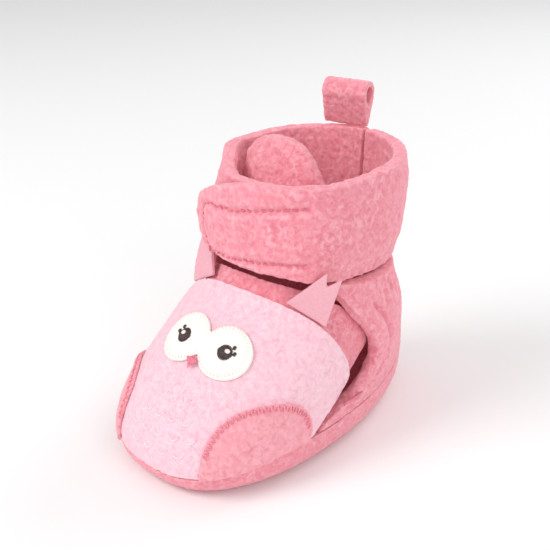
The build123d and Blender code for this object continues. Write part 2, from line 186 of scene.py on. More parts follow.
def rim_path(nodes, axis, top, first, last, inset):
    """Middle of the rim of panels that stand round an axis: the highest or lowest place in
    each direction from first to last (degrees), moved inwards by the inset."""
    co = node_coords(nodes)
    turn = np.degrees(np.arctan2(co[:, 1] - axis.y, co[:, 0] - axis.x))
    path = []
    for angle in np.arange(first, last, math.copysign(RIM_STEP, last - first)):
        near = np.abs((turn - angle + 180) % 360 - 180) < RIM_STEP
        if not near.any():
            continue
        z = co[near, 2]
        edge = z.max() if top else z.min()
        x, y, _ = middle_of(co[near][np.abs(z - edge) < RIM_DEPTH * MM])
        path.append(Vector((x, y, edge - inset * MM if top else edge + inset * MM)))
    return path


def outline_path(nodes, centre, across, first, last, inset):
    """Middle of a panel's rim in each direction (degrees) of its own upright plane, moved
    towards its centre by the inset."""
    co = node_coords(nodes)
    across = np.array(across.normalized())
    level = (co - np.array(centre)) @ across
    height = co[:, 2] - centre.z
    turn = np.degrees(np.arctan2(height, level))
    reach = np.hypot(level, height)
    path = []
    for angle in np.arange(first, last, OUTLINE_STEP):
        near = np.abs(turn - angle) < OUTLINE_STEP
        if not near.any():
            continue
        edge = reach[near].max()
        middle = middle_of(co[near][reach[near] > edge - RIM_DEPTH * MM])
        inwards = Vector(np.array(centre) - middle).normalized()
        path.append(Vector(middle) + inwards * inset * MM)
    return path


def lattice_noise(co, size, seed):
    """Smooth noise from -1 to 1 with bumps of about the given size, the same in every run."""
    p = co / size + 1000.0
    cell = np.floor(p).astype(np.int64)
    f = p - cell
    f = f * f * (3 - 2 * f)
    total = np.zeros(len(co))
    for corner in range(8):
        offset = np.array([corner & 1, (corner >> 1) & 1, (corner >> 2) & 1])
        x, y, z = (cell + offset).T
        h = (x * 73856093) ^ (y * 19349663) ^ (z * 83492791) ^ (seed * 2654435761)
        h = (h ^ (h >> 13)) * 1274126177
        value = ((h ^ (h >> 16)) & 0xFFFF) / 32767.5 - 1
        weight = np.ones(len(co))
        for axis in range(3):
            weight *= f[:, axis] if offset[axis] else 1 - f[:, axis]
        total += value * weight
    return total


def sway(obj, amount=0.45, size=22, seed=5):
    """Slow unevenness that all pieces share, so that nothing is perfectly regular. Its
    upright part fades out towards the ground, where the sole stays flat."""
    co = coords(obj)
    move = np.stack([lattice_noise(co, size * MM, seed + k) for k in range(3)], axis=1)
    move[:, 2] *= np.clip(co[:, 2] / (12 * MM), 0, 1)
    set_coords(obj, co + move * amount * MM)


def nap(obj, height=0.2, size=1.35, seed=11):
    """Pilled fleece: small lumps along the surface normal."""
    co, n = coords(obj), normals(obj)
    lumps = lattice_noise(co, size * MM, seed)
    lumps += 0.55 * lattice_noise(co, 0.55 * size * MM, seed + 7)
    set_coords(obj, co + n * (lumps * height * MM)[:, None])


def press(obj, path, depth, width, side=None):
    """Presses a groove along a path of points; side keeps it to faces that look that way."""
    co, n = coords(obj), normals(obj)
    path = np.array(path)
    nearest = np.full(len(co), 1e9)
    chunk_size = 64        # keeps the table of distances small
    for start in range(0, len(path), chunk_size):
        chunk = path[start:start + chunk_size]
        d = np.linalg.norm(co[:, None, :] - chunk[None], axis=2).min(axis=1)
        nearest = np.minimum(nearest, d)
    push = depth * MM * np.exp(-((nearest / (width * MM)) ** 2))
    if side:
        push *= np.clip(n @ np.array(side) * 3, 0, 1)
    set_coords(obj, co - n * push[:, None])


def surface(obj):
    return BVHTree.FromObject(obj, bpy.context.evaluated_depsgraph_get())


# ---------------------------------------------------------------- cloth
CLOTH_SCALE = 10.0         # the solver is happier with a bigger object
CLOTH_STEPS = 20


def puff(obj, pressure=3.0, cap=0.7, voxel=2.4):
    """Padded fabric: a coarse copy fills up under pressure, and the fine mesh follows it by
    no more than the cap."""
    coarse = obj.copy()
    coarse.data = obj.data.copy()
    SCENE.collection.objects.link(coarse)
    add_remesh(coarse, voxel)
    apply_modifiers(coarse)
    rest = coords(coarse)
    set_coords(coarse, rest * CLOTH_SCALE)
    cloth = coarse.modifiers.new("cloth", "CLOTH")
    settings = cloth.settings
    settings.quality = 6
    settings.mass = 0.3
    settings.tension_stiffness = 25
    settings.compression_stiffness = 10
    settings.bending_stiffness = 0.6
    settings.use_pressure = True
    settings.uniform_pressure_force = pressure
    settings.effector_weights.gravity = 0
    cloth.point_cache.frame_start = 1
    cloth.point_cache.frame_end = CLOTH_STEPS
    for step in range(1, CLOTH_STEPS + 1):
        SCENE.frame_set(step)
    apply_modifiers(coarse)
    move = coords(coarse) / CLOTH_SCALE - rest
    SCENE.frame_set(1)
    length = np.linalg.norm(move, axis=1, keepdims=True)
    move *= np.minimum(1, cap * MM / np.maximum(length, 1e-9))
    follow(obj, rest, move, reach=1.6 * voxel * MM)
    bpy.data.objects.remove(coarse)


def follow(obj, rest, move, reach):
    """Moves the fine mesh with the coarse one, by a smooth average of the near points."""
    tree = KDTree(len(rest))
    for k, p in enumerate(rest):
        tree.insert(p, k)
    tree.balance()
    co = coords(obj)
    out = co.copy()
    for i, p in enumerate(co):
        near = tree.find_n(p, 6)
        weights = [math.exp(-((d / reach) ** 2)) + 1e-6 for _, _, d in near]
        total = sum(weights)
        for (_, k, _), w in zip(near, weights):
            out[i] += move[k] * (w / total)
    set_coords(obj, out)


# ---------------------------------------------------------------- materials
class Nodes:
    """Short helper to build a node tree."""

    def __init__(self, name):
        self.material = bpy.data.materials.new(name)
        self.material.use_nodes = True
        self.tree = self.material.node_tree
        self.shader = self.tree.nodes["Principled BSDF"]
        self.place = self.add("ShaderNodeTexCoord").outputs["Object"]

    def add(self, kind, **values):
        node = self.tree.nodes.new(kind)
        for key, value in values.items():
            setattr(node, key, value)
        return node

    def link(self, source, target):
        self.tree.links.new(source, target)

    def noise(self, scale, detail=2.0, roughness=0.5, distortion=0.0, stretch=None):
        node = self.add("ShaderNodeTexNoise")
        place = self.place
        if stretch:
            mapping = self.add("ShaderNodeMapping")
            mapping.inputs["Scale"].default_value = stretch
            self.link(place, mapping.inputs["Vector"])
            place = mapping.outputs["Vector"]
        self.link(place, node.inputs["Vector"])
        node.inputs["Scale"].default_value = scale
        node.inputs["Detail"].default_value = detail
        node.inputs["Roughness"].default_value = roughness
        node.inputs["Distortion"].default_value = distortion
        return node.outputs["Fac"]

    def cells(self, scale):
        node = self.add("ShaderNodeTexVoronoi", feature="SMOOTH_F1")
        self.link(self.place, node.inputs["Vector"])
        node.inputs["Scale"].default_value = scale
        return node.outputs["Distance"]

    def ramp(self, value, stops):
        node = self.add("ShaderNodeValToRGB")
        self.link(value, node.inputs["Fac"])
        elements = node.color_ramp.elements
        while len(elements) < len(stops):
            elements.new(0.5)
        for element, (at, color) in zip(elements, stops):
            element.position = at
            element.color = (*color, 1)
        return node.outputs["Color"]

    def feed(self, socket, value):
        """Gives a socket a colour, a number or another node's output."""
        if isinstance(value, tuple):
            socket.default_value = (*value, 1)
        elif isinstance(value, float):
            socket.default_value = value
        else:
            self.link(value, socket)

    def mix(self, a, b, share):
        """Colour between a and b; the mix node's colour sockets are 6 and 7."""
        node = self.add("ShaderNodeMix", data_type="RGBA")
        for number, value in ((6, a), (7, b), (0, share)):
            self.feed(node.inputs[number], value)
        return node.outputs[2]

    def math(self, operation, a, b):
        node = self.add("ShaderNodeMath", operation=operation)
        for socket, value in zip(node.inputs, (a, b)):
            self.feed(socket, value)
        return node.outputs[0]

    def bump(self, height, strength, distance):
        node = self.add("ShaderNodeBump")
        node.inputs["Strength"].default_value = strength
        node.inputs["Distance"].default_value = distance
        self.link(height, node.inputs["Height"])
        self.link(node.outputs["Normal"], self.shader.inputs["Normal"])

    def finish(self, color, roughness, sheen=0.0, sheen_tint=(1, 1, 1), specular=0.2):
        self.link(color, self.shader.inputs["Base Color"])
        self.shader.inputs["Roughness"].default_value = roughness
        self.shader.inputs["Specular IOR Level"].default_value = specular
        self.shader.inputs["Sheen Weight"].default_value = sheen
        self.shader.inputs["Sheen Roughness"].default_value = 0.45
        self.shader.inputs["Sheen Tint"].default_value = (*sheen_tint, 1)
        return self.material


def linear(red, green, blue):
    """Scene colour from 0-255 display values."""
    values = (c / 255 for c in (red, green, blue))
    return tuple(c / 12.92 if c < 0.04045 else ((c + 0.055) / 1.055) ** 2.4 for c in values)


def grey(value):
    return (value, value, value)


def fleece(name, deep, body, pale):
    """Napped fleece: pale pills on a deeper ground, uneven tone in patches, painted highlight on
    convex rims and lumps, painted shade in hollows and creases, and a painted pale sheen at the
    grazing rims.
    """
    m = Nodes(name)
    pills = m.noise(520, detail=3, roughness=0.6, distortion=0.8)
    color = m.ramp(pills, [(0.3, deep), (0.48, body), (0.7, pale)])
    patches = m.noise(75, detail=2)
    color = m.mix(color, body, m.ramp(patches, [(0.35, grey(0.25)), (0.7, grey(0.6))]))
    # Painted light and shade from pointiness: convex rims and lump tops are mixed paler (painted
    # highlight), hollows and creases are mixed deeper (painted shade).
    rim_light_hollow_shade = m.add("ShaderNodeNewGeometry").outputs["Pointiness"]
    color = m.mix(color, pale, m.ramp(rim_light_hollow_shade, [(0.5, grey(0)), (0.58, grey(0.6))]))
    color = m.mix(color, deep, m.ramp(rim_light_hollow_shade, [(0.41, grey(0.7)), (0.49, grey(0))]))
    # Painted sheen: where the surface turns away from view, the colour is mixed towards the pale
    # tone.
    facing = m.add("ShaderNodeLayerWeight")
    facing.inputs["Blend"].default_value = 0.3
    painted_rim_sheen = m.math("MULTIPLY", facing.outputs["Facing"], 0.45)
    color = m.mix(color, pale, painted_rim_sheen)
    fibres = m.noise(2300, detail=2, roughness=0.7)
    lumps = m.math("MULTIPLY", m.cells(640), 0.8)
    height = m.math("ADD", lumps, m.math("MULTIPLY", fibres, 0.3))
    m.bump(height, 0.5, 0.5 * MM)
    return m.finish(color, 0.95, sheen=0.35, sheen_tint=pale, specular=0.05)


def felt(name, body, pale):
    """Pressed felt: fine matted fibres and faint cloudy tone."""
    m = Nodes(name)
    fibres = m.noise(1500, detail=4, roughness=0.7, stretch=(1, 0.35, 1.6))
    color = m.ramp(fibres, [(0.3, body), (0.7, pale)])
    cloud = m.noise(260, detail=2)
    color = m.mix(color, pale, m.math("MULTIPLY", cloud, 0.35))
    m.bump(m.math("ADD", fibres, m.noise(4200, detail=1)), 0.3, 0.18 * MM)
    return m.finish(color, 0.92, sheen=0.35, sheen_tint=pale, specular=0.1)


def thread(name, body, pale):
    """Embroidery thread: fine twist lines and a soft shine."""
    m = Nodes(name)
    twist = m.noise(3800, detail=1, stretch=(1, 1, 0.4))
    color = m.ramp(twist, [(0.35, body), (0.65, pale)])
    m.bump(twist, 0.35, 0.08 * MM)
    return m.finish(color, 0.5, sheen=0.2, sheen_tint=pale, specular=0.35)


def silicone(name, body, pale):
    """Matt grip dots with a faint grain."""
    m = Nodes(name)
    grain = m.noise(900, detail=3)
    color = m.ramp(grain, [(0.3, body), (0.7, pale)])
    m.bump(grain, 0.15, 0.06 * MM)
    return m.finish(color, 0.38, specular=0.45)


def brushed_tape(name, body, pale, scale, relief):
    """Touch tape: dense small hooks or loops."""
    m = Nodes(name)
    dots = m.cells(scale)
    color = m.ramp(dots, [(0.15, pale), (0.6, body)])
    m.bump(m.math("ADD", dots, m.noise(3000)), relief, 0.3 * MM)
    return m.finish(color, 0.7, sheen=0.2, sheen_tint=pale)


def palette(make, name, *colors, **looks):
    """A material from display colours."""
    return make(f"{name}_mat", *[linear(*color) for color in colors], **looks)


PINK = palette(fleece, "pink_fleece", (210, 108, 126), (234, 142, 156), (248, 192, 200))
DEEP = palette(fleece, "deep_pink_fleece", (196, 84, 104), (224, 116, 134), (240, 156, 170))
PALE = palette(fleece, "light_pink_fleece", (234, 170, 187), (244, 197, 210), (250, 218, 226))
WING = palette(fleece, "wing_fleece", (222, 132, 146), (240, 161, 172), (249, 190, 198))
EAR_FELT = palette(felt, "ear_felt", (224, 160, 172), (238, 184, 194))
WHITE_FELT = palette(felt, "white_felt", (243, 236, 226), (252, 249, 243))
PINK_THREAD = palette(thread, "pink_thread", (206, 100, 120), (230, 136, 152))
WING_THREAD = palette(thread, "wing_thread", (228, 128, 146), (246, 164, 178))
WHITE_THREAD = palette(thread, "white_thread", (240, 232, 222), (255, 252, 247))
PALE_THREAD = palette(thread, "pale_thread", (247, 208, 218), (255, 232, 238))
DARK_THREAD = palette(thread, "dark_thread", (52, 38, 40), (92, 72, 74))
BEAK_THREAD = palette(thread, "beak_thread", (222, 112, 136), (244, 154, 172))
GRIP = palette(silicone, "grip_silicone", (238, 214, 219), (247, 230, 234))
HOOKS = palette(brushed_tape, "hook_tape", (222, 128, 144), (244, 176, 187), scale=1500, relief=0.9)
LOOPS = palette(brushed_tape, "loop_tape", (226, 140, 154), (246, 188, 198), scale=900, relief=0.7)
BATTING = palette(felt, "batting", (238, 232, 222), (250, 247, 240))


def dress(obj, material):
    """Material in the mesh's one material slot, and smooth shading."""
    obj.data.materials.clear()
    obj.data.materials.append(material)
    obj.data.polygons.foreach_set("use_smooth", [True] * len(obj.data.polygons))
    return obj


# ---------------------------------------------------------------- stitches
def tube(path, radius, sides=6, flat=None):
    """Verts and faces of a thread along a path of points, thinner towards its ends. Flat is
    the direction that counts as up for its section."""
    path = [Vector(p) for p in path]
    last = len(path) - 1
    up = flat or Vector((0, 0, 1))
    verts, faces = [], []
    for i, p in enumerate(path):
        along = (path[min(i + 1, last)] - path[max(i - 1, 0)]).normalized()
        across = along.cross(up)
        if across.length < 1e-6:
            across = along.orthogonal()
        across.normalize()
        rise = across.cross(along)
        share = i / last
        r = radius * max(0.35, min(1, math.sin(math.pi * share) * 1.8))
        for k in range(sides):
            turn = 2 * math.pi * k / sides
            verts.append(p + across * (r * math.cos(turn)) + rise * (r * math.sin(turn)))
    for i in range(last):
        for k in range(sides):
            a, b = i * sides + k, i * sides + (k + 1) % sides
            faces.append((a, b, b + sides, a + sides))
    faces.append(tuple(reversed(range(sides))))
    faces.append(tuple(last * sides + k for k in range(sides)))
    return verts, faces


def threads(name, runs, radius, material, body="foot", node=None):
    """One piece of many threads that rides on a body and may stand in for a CAD node. Runs
    holds (path, surface normal) pairs; the radius is in mm."""
    verts, faces = [], []
    for path, up in runs:
        v, f = tube(path, radius * MM, flat=up)
        faces += [tuple(i + len(verts) for i in face) for face in f]
        verts += v
    obj = dress(new_object(name, verts, faces), material)
    if node:
        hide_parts(node)
    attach(obj, body)


def on_surface(tree, point, lift=0.0):
    """Nearest point of a surface, raised along its normal, and the normal."""
    place, normal, _, _ = tree.find_nearest(Vector(point))
    return place + normal * lift, normal


def ribbon_path(node, centre, across, count):
    """Middle line of a thin CAD ribbon that runs round a centre, from one of its ends to the
    other. Across is a level direction in the ribbon's plane."""
    ribbon = soft_form("ribbon", [node], voxel=0.35, swell=0.25, rounding=2)
    co = coords(ribbon) - np.array(centre)
    bpy.data.objects.remove(ribbon)
    turn = np.arctan2(co[:, 2], co @ np.array(across))
    order = np.sort(turn)
    gaps = np.diff(np.append(order, order[0] + 2 * math.pi))
    widest = int(np.argmax(gaps))
    start = order[(widest + 1) % len(order)]
    share = ((turn - start) % (2 * math.pi)) / (2 * math.pi - gaps[widest])
    path = []
    for k in range(count):
        inside = np.abs(share - (k + 0.5) / count) < 0.75 / count
        if inside.any():
            path.append(Vector(co[inside].mean(axis=0) + np.array(centre)))
    return path


def resample(points, spacing):
    """Points at even spacing along a path."""
    lengths = [0.0]
    for a, b in zip(points, points[1:]):
        lengths.append(lengths[-1] + (b - a).length)
    count = max(2, round(lengths[-1] / spacing))
    out = []
    i = 0
    for k in range(count + 1):
        want = lengths[-1] * k / count
        while i < len(lengths) - 2 and lengths[i + 1] < want:
            i += 1
        share = (want - lengths[i]) / max(lengths[i + 1] - lengths[i], 1e-9)
        out.append(points[i].lerp(points[i + 1], share))
    return out


# ---------------------------------------------------------------- fabric pieces
def fabric(name, nodes, material, slot, **shape):
    """A soft form with its material in place of its CAD nodes."""
    obj = soft_form(name, nodes, **shape)
    sway(obj)
    dress(obj, material)
    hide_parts(*nodes)
    return obj


def sole():
    outsole = fabric("outsole_fleece", ["outsole"], PINK, "pink_fleece", rounding=5, voxel=0.7)
    nap(outsole, 0.14)
    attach(outsole, "foot")
    insole = fabric("insole_fleece", ["insole"], DEEP, "pink_lining_fleece", voxel=0.9)
    nap(insole, 0.2)
    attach(insole, "foot")


def toe():
    lining = fabric("vamp_lining_fleece", ["vamp_lining"], PINK, "pink_lining_fleece", rounding=4)
    nap(lining, 0.16)
    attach(lining, "foot")
    vamp = fabric(
        "vamp_fleece", ["vamp_outer"], PALE, "light_pink_fleece", rounding=3, voxel=0.55
    )
    nap(vamp, 0.13, seed=21)
    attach(vamp, "foot")
    return vamp


def wings():
    for side in SIDES:
        patch = fabric(
            f"{side}_wing_patch", [f"{side}_wing"], WING, "wing_fleece",
            voxel=0.4, swell=0.3, rounding=3,
        )
        nap(patch, 0.1, seed=31)
        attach(patch, "foot")
        wing_stitches(side, patch)


SATIN_PITCH = 1.05         # from one satin stitch of a wing's edge to the next
SATIN_HALF_WIDTH = 1.0
SATIN_SLANT = 0.3          # stitches lean forward and back in turn


def wing_stitches(side, patch):
    """Close zigzag stitches laid across the wing's edge."""
    low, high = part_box(f"{side}_wing")
    sign = 1 if side == "medial" else -1
    centre = (low + high) / 2
    centre.z = low.z
    along = Vector((0.52 * sign, 0.85, 0)).normalized()
    path = ribbon_path(f"{side}_wing_stitching", centre, along, count=60)
    tree = surface(patch)
    points = resample(path, SATIN_PITCH * MM)
    runs = []
    for k, p in enumerate(points[:-1]):
        ahead = (points[k + 1] - p).normalized()
        place, normal = on_surface(tree, p, 0.1 * MM)
        across = normal.cross(ahead).normalized() * SATIN_HALF_WIDTH * MM
        slant = ahead * (SATIN_SLANT * MM if k % 2 else -SATIN_SLANT * MM)
        start, end = place - across - slant, place + across + slant
        crown = place + normal * 0.22 * MM
        sink = normal * 0.1 * MM
        line = [start - sink, crown.lerp(start, 0.5), crown, crown.lerp(end, 0.5), end - sink]
        runs.append((line, normal))
    threads(
        f"{side}_wing_satin_stitches", runs, 0.3, WING_THREAD,
        node=f"{side}_wing_stitching",
    )


EYE_RADIUS = 8.9
PUPIL_OUT = 0.6            # each pupil sits this far outside the middle of its eye
PUPIL_RADIUS = 2.6
GLINT_RADIUS = 1.0
GLINT_SHIFT = (0.7, 0.6)   # outwards and up from the middle of the pupil
LASH_RADIUS = 0.7
LASH_REACH = 3.4           # from the middle of the pupil, at two tilts
LASH_TILTS = (14, 50)


def face(vamp):
    patch = fabric(
        "eye_patch_felt", ["eye_patch"], WHITE_FELT, "white_felt",
        voxel=0.35, swell=0.25, rounding=3,
    )
    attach(patch, "foot")
    tree = surface(patch)
    low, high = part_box("eye_patch")
    in_front = Vector((0, -12 * MM, 0))
    normal = on_surface(tree, (low + high) / 2 + in_front)[1]
    pupils = {sign: node_centre("pupils", sign) for sign in (-1, 1)}
    right = (pupils[1] - pupils[-1]).normalized()
    up = normal.cross(right).normalized()
    dark, light, lashes, rim = [], [], [], []
    for sign, pupil in pupils.items():
        eye = pupil - right * (sign * PUPIL_OUT * MM)
        eye_stitch_ring(sign, rim, tree, eye, right, up)
        disc_threads(dark, tree, pupil, right, up, PUPIL_RADIUS * MM, 0.3 * MM)
        glint_out, glint_up = GLINT_SHIFT
        glint = pupil + right * (sign * glint_out * MM) + up * glint_up * MM
        disc_threads(light, tree, glint, right, up, GLINT_RADIUS * MM, 0.55 * MM)
        for tilt in LASH_TILTS:
            turn = math.radians(tilt)
            out = right * (sign * math.cos(turn)) + up * math.sin(turn)
            spot = pupil + out * LASH_REACH * MM
            disc_threads(lashes, tree, spot, right, up, LASH_RADIUS * MM, 0.3 * MM)
    threads("pupil_satin_threads", dark, 0.24, DARK_THREAD, node="pupils")
    threads("eye_glint_threads", light, 0.2, WHITE_THREAD, node="eye_glints")
    threads("eyelash_threads", lashes, 0.2, DARK_THREAD, node="eyelashes")
    threads(
        "eye_patch_stitches", rim, 0.16, WHITE_THREAD,
        node="eye_patch_stitching",
    )
    beak_threads(surface(vamp), right, up)


def node_centre(node, sign):
    """Centre of a CAD node's solids on one side of the node's own middle."""
    co = coords(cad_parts[node])
    middle = (co[:, 0].max() + co[:, 0].min()) / 2
    co = co[(co[:, 0] - middle) * sign > 0]
    return Vector(middle_of(co))


DISC_PITCH = 0.36          # between two threads of a filled spot


def disc_threads(runs, tree, centre, right, up, radius, lift):
    """Satin fill of a round spot: parallel threads side by side, crowned in the middle."""
    rows = int(radius / (DISC_PITCH * MM))
    for row in range(-rows, rows + 1):
        x = row * DISC_PITCH * MM
        half = math.sqrt(max(radius**2 - x**2, 0.0)) + 0.05 * MM
        path = []
        for step in range(5):
            t = -1 + step / 2
            crown = lift * (1 - 0.75 * t * t) * (1 - 0.5 * (x / radius) ** 2)
            p = centre + right * x + up * (half * t)
            place, normal = on_surface(tree, p, crown)
            path.append(place)
        runs.append((path, normal))


EYE_STITCHES = 40          # round one eye, if it had no neighbour


def eye_stitch_ring(sign, runs, tree, centre, right, up):
    """Short stitches that bite over the edge of one round eye patch, except where it joins
    the other eye."""
    radius = (EYE_RADIUS - 0.2) * MM
    for k in range(EYE_STITCHES):
        turn = 2 * math.pi * k / EYE_STITCHES
        out = right * math.cos(turn) + up * math.sin(turn)
        towards_other_eye = -math.cos(turn) * sign
        if towards_other_eye > 0.91:
            continue
        inner = centre + out * (radius - 1.3 * MM)
        outer = centre + out * (radius + 0.25 * MM)
        middle = centre + out * (radius - 0.5 * MM)
        place, normal = on_surface(tree, middle, 0.22 * MM)
        start = on_surface(tree, inner, 0.02 * MM)[0]
        end = on_surface(tree, outer, -0.05 * MM)[0] + out * 0.3 * MM - normal * 0.35 * MM
        runs.append(([start, start.lerp(place, 0.6), place, place.lerp(end, 0.6), end], normal))


BELLY_ROWS = ((28.5, 3), (24.0, 4), (19.5, 5), (15.0, 4))   # height and scallops in a row
BELLY_AXIS = Vector((0, -18 * MM, 0))                       # the belly curves round it
BELLY_RADIUS = 44.0
SCALLOP_PITCH = 5.6
SCALLOP_HALF_WIDTH = 2.0
SCALLOP_DEPTH = 1.5
FAR_OUT = 0.2              # metres: a ray that looks for a surface starts here


def belly(vamp):
    """Faint tone-on-tone feathers: rows of small scallops under the face."""
    tree = surface(vamp)
    low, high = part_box("beak")
    front = Vector(((low.x + high.x) / 2, low.y, 0))
    middle = math.atan2(front.y - BELLY_AXIS.y, front.x - BELLY_AXIS.x)
    runs = []
    for height, count in BELLY_ROWS:
        for k in range(count):
            along = (k - (count - 1) / 2) * SCALLOP_PITCH
            path = []
            for step in range(9):
                t = -1 + step / 4
                turn = middle + (along + SCALLOP_HALF_WIDTH * t) / BELLY_RADIUS
                z = height + SCALLOP_DEPTH * (t * t - 0.5)
                hit, normal = seen_from_outside(tree, BELLY_AXIS, turn, z * MM)
                path.append(hit + normal * 0.12 * MM)
            runs.append((path, normal))
    threads("belly_feather_stitches", runs, 0.26, PALE_THREAD)


def seen_from_outside(tree, axis, turn, z):
    """Where a level ray towards an upright axis meets a surface, and the normal there."""
    outwards = Vector((math.cos(turn), math.sin(turn), 0))
    start = Vector((axis.x, axis.y, z)) + outwards * FAR_OUT
    hit, normal, _, _ = tree.ray_cast(start, -outwards)
    return hit, normal


BEAK_ROWS = 5              # threads on each side of the middle one


def beak_threads(tree, right, up):
    """Upright satin threads that fill the beak's four-cornered outline."""
    low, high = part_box("beak")
    centre = (low + high) / 2
    half_x = (high.x - low.x) / 2
    runs = []
    for row in range(-BEAK_ROWS, BEAK_ROWS + 1):
        x = row / BEAK_ROWS * half_x
        share = 1 - abs(row) / BEAK_ROWS
        top = (0.9 + 1.3 * share) * MM
        bottom = (0.5 - 2.9 * share) * MM
        path = []
        for step in range(5):
            t = step / 4
            p = centre + right * x + up * (top + (bottom - top) * t)
            place, normal = on_surface(tree, p, (1.35 + 0.35 * math.sin(math.pi * t)) * MM)
            path.append(place)
        runs.append((path, normal))
    threads("beak_satin_threads", runs, 0.26, BEAK_THREAD, node="beak")


FRONT_BAND = 9.5           # width of the rolled band beside the slit
BAND_ROLL = 2.5            # radius of its front rim
BAND_LOW_Z = 17
LEVEL_DEPTH = 1.2          # vertices this near to a height belong to its level section
GATHER_AXIS_Y = 5.0        # the pleats stand round this upright axis
GATHER_Z = 51.0            # height of the elastic's casing at the heel
GATHER_HALF_HEIGHT = 5.0
GATHER_COUNT = 46          # pleats round the whole ankle, if they went all round
PLEAT_DEPTH = 0.45
CASING_DEPTH = 0.5         # how far the elastic draws the fleece in


def quarters():
    for side in SIDES:
        nodes = [f"{side}_quarter_outer", f"{side}_quarter_lining"]
        quarter = fabric(
            f"{side}_quarter_fleece", nodes, PINK, "pink_fleece",
            voxel=0.7, rounding=8, rolls=[(front_edge(nodes), BAND_ROLL)],
        )
        outwards = (1 if side == "medial" else -1, 0, 0)
        press(quarter, band_crease(quarter, side), 1.5, 1.5, side=outwards)
        gathers(quarter)
        nap(quarter, 0.2, seed=41)
        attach(quarter, "foot")
    dress(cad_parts["slit_bartacks"], PINK_THREAD)


def front_edge(nodes):
    """Middle of the quarter's front rim, a little inside its edge."""
    co = node_coords(nodes)
    inset = Vector((0, 1.8 * MM, 0))
    path = []
    for z in np.arange(BAND_LOW_Z, 57, 1.5) * MM:
        level = co[np.abs(co[:, 2] - z) < LEVEL_DEPTH * MM]
        rim = level[level[:, 1] < level[:, 1].min() + LEVEL_DEPTH * MM]
        path.append(Vector(middle_of(rim)) + inset)
    return path


def band_crease(quarter, side):
    """Line behind the rolled front band, parallel to the quarter's front edge."""
    panel = coords(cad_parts[f"{side}_quarter_outer"])
    tree = surface(quarter)
    path = []
    for z in np.arange(BAND_LOW_Z, 55, 1.0) * MM:
        level = panel[np.abs(panel[:, 2] - z) < LEVEL_DEPTH * MM]
        front = Vector(level[level[:, 1].argmin()])
        path.append(on_surface(tree, front + Vector((0, FRONT_BAND * MM, 0)))[0])
    return resample(path, 0.8 * MM)


def gathers(quarter):
    """Small upright pleats where the elastic draws in the back of the ankle."""
    co, n = coords(quarter), normals(quarter)
    turn = np.arctan2(co[:, 1] - GATHER_AXIS_Y * MM, co[:, 0])
    pleats = np.sin(turn * GATHER_COUNT + 2.2 * lattice_noise(co, 9 * MM, 43))
    level = np.exp(-(((co[:, 2] - GATHER_Z * MM) / (GATHER_HALF_HEIGHT * MM)) ** 2))
    back = np.clip(co[:, 1] / (14 * MM), 0, 1)
    push = level * back * (PLEAT_DEPTH * pleats - CASING_DEPTH)
    set_coords(quarter, co + n * (push * MM)[:, None])


CUFF_AXIS = Vector((0, 10 * MM, 0))
RIM_ROLL = 2.9             # radius of the rolled rim of doubled fleece
EDGE_ROLL = 2.5            # the same at the free edges of the over flap and the tongue
ROLL_INSET = 0.8           # share of its radius that a roll lies inside the edge
CUFF_HALVES = {            # side of the root, and where the rim starts and ends (degrees)
    "over": ("medial", 86, -118),
    "under": ("lateral", 94, 290),
}


def cuff_half(flap):
    """One strip of double fleece: fixed at the back, free in front."""
    side, first, last = CUFF_HALVES[flap]
    flap_nodes = [f"{flap}_flap_outer", f"{flap}_flap_lining"]
    nodes = [f"{side}_cuff_outer", f"{side}_cuff_lining", *flap_nodes]
    rim = rim_path(nodes, CUFF_AXIS, True, first, last, RIM_ROLL * ROLL_INSET)
    rolls = [(rim, RIM_ROLL)]
    if flap == "over":
        inset = EDGE_ROLL * ROLL_INSET
        rolls.append((rim_path(nodes, CUFF_AXIS, False, 20, last, inset), EDGE_ROLL))
        low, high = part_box("flap_topstitch")
        free_end = Vector((low.x - high.x, high.y - low.y, 0))
        end = outline_path(flap_nodes, (low + high) / 2, free_end, -60, 61, inset)
        rolls.append((end, EDGE_ROLL))
    return fabric(
        f"{flap}_flap_cuff", nodes, PINK, "pink_fleece", voxel=0.65, rounding=9, rolls=rolls
    )


def cuff():
    over = cuff_half("over")
    under = cuff_half("under")
    puff(over)
    puff(under)
    path = resample(topstitch_path(over), 0.8 * MM)
    press(over, path, 1.0, 1.2)
    nap(over, 0.2, seed=51)
    nap(under, 0.2, seed=52)
    topstitches(over, path)
    for piece, body in ((over, "over_flap"), (under, "under_flap")):
        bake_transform(piece)
    dress(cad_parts["hook_patch"], HOOKS)
    dress(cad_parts["loop_patch"], LOOPS)
    return over


def topstitch_path(over):
    """The row round the flap's free end, continued forward along its top and lower edges."""
    low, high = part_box("flap_topstitch")
    centre = (low + high) / 2
    across = Vector((high.x - low.x, -(high.y - low.y), 0)).normalized()
    row = ribbon_path("flap_topstitch", centre, across, count=70)
    if row[0].z > row[-1].z:
        row.reverse()
    tree = surface(over)
    lower = edge_run(tree, row[0], LOWER_CLIMB)
    upper = edge_run(tree, row[-1], UPPER_CLIMB)
    return lower[::-1] + row + upper


EDGE_AXIS = Vector((0, 8 * MM, 0))
EDGE_RUN_DEG = 62          # how far the row goes on round the front of the cuff
EDGE_RUN_POINTS = 29
LOWER_CLIMB = 3.0
UPPER_CLIMB = 5.0


def edge_run(tree, start, climb):
    """Points from the row's end round the front of the cuff, climbing by so many mm."""
    first = math.atan2(start.y - EDGE_AXIS.y, start.x - EDGE_AXIS.x)
    run = []
    for step in range(1, EDGE_RUN_POINTS + 1):
        share = step / EDGE_RUN_POINTS
        turn = first + math.radians(EDGE_RUN_DEG) * share
        z = start.z + climb * share * share * (3 - 2 * share) * MM
        run.append(seen_from_outside(tree, EDGE_AXIS, turn, z)[0])
    return run


STITCH_LENGTH = 2.6
STITCH_SHAPE = ((0.0, -0.15), (0.2, 0.15), (0.5, 0.22), (0.8, 0.15), (1.0, -0.15))


